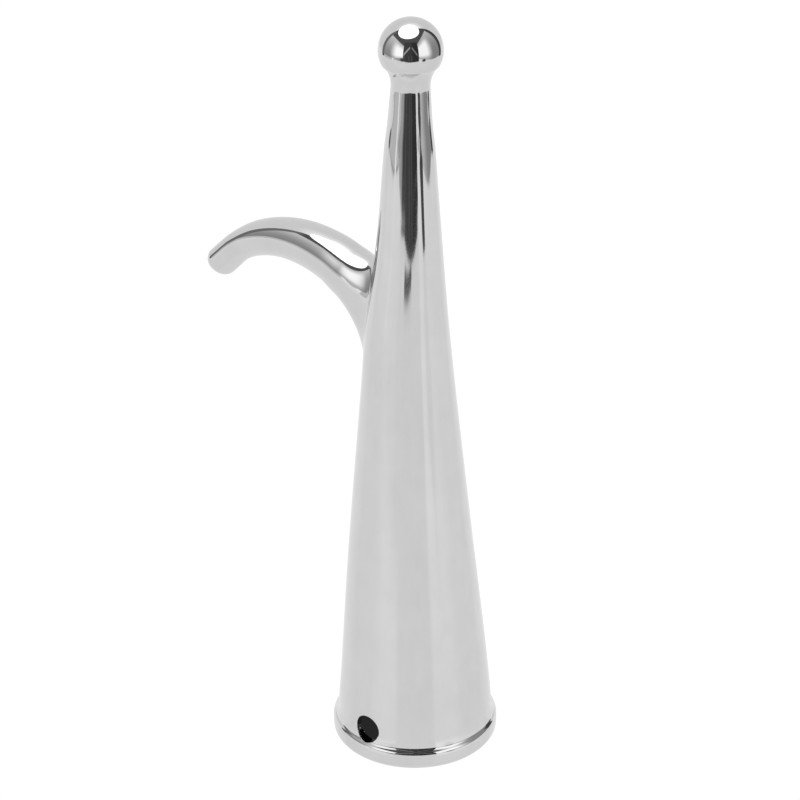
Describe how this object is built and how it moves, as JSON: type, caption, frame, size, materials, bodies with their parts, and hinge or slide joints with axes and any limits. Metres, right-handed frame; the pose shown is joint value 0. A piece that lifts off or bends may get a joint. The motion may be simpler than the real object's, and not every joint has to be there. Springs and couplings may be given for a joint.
{
  "type": "boat hook head",
  "caption": "Tapered pole socket with a beaded mouth, a cross hole, one curved hook and a ball point for pulling and pushing a boat.",
  "frame": {"origin": "centre of the socket's mouth, in the plane of its flat end", "axes": "+Z along the socket towards the ball, the hook points along -X, the cross hole runs along Y"},
  "size_m": [0.0769, 0.0376, 0.1733],
  "materials": {
    "socket_steel": "satin-polished stainless steel on the wide end, mirror-polished at the neck",
    "ring_steel": "polished stainless steel",
    "hook_steel": "mirror-polished stainless steel",
    "ball_steel": "mirror-polished stainless steel"
  },
  "bodies": {
    "root": {"socket": "socket_steel", "mouth_ring": "ring_steel", "hook": "hook_steel", "ball_tip": "ball_steel"}
  },
  "joints": []
}
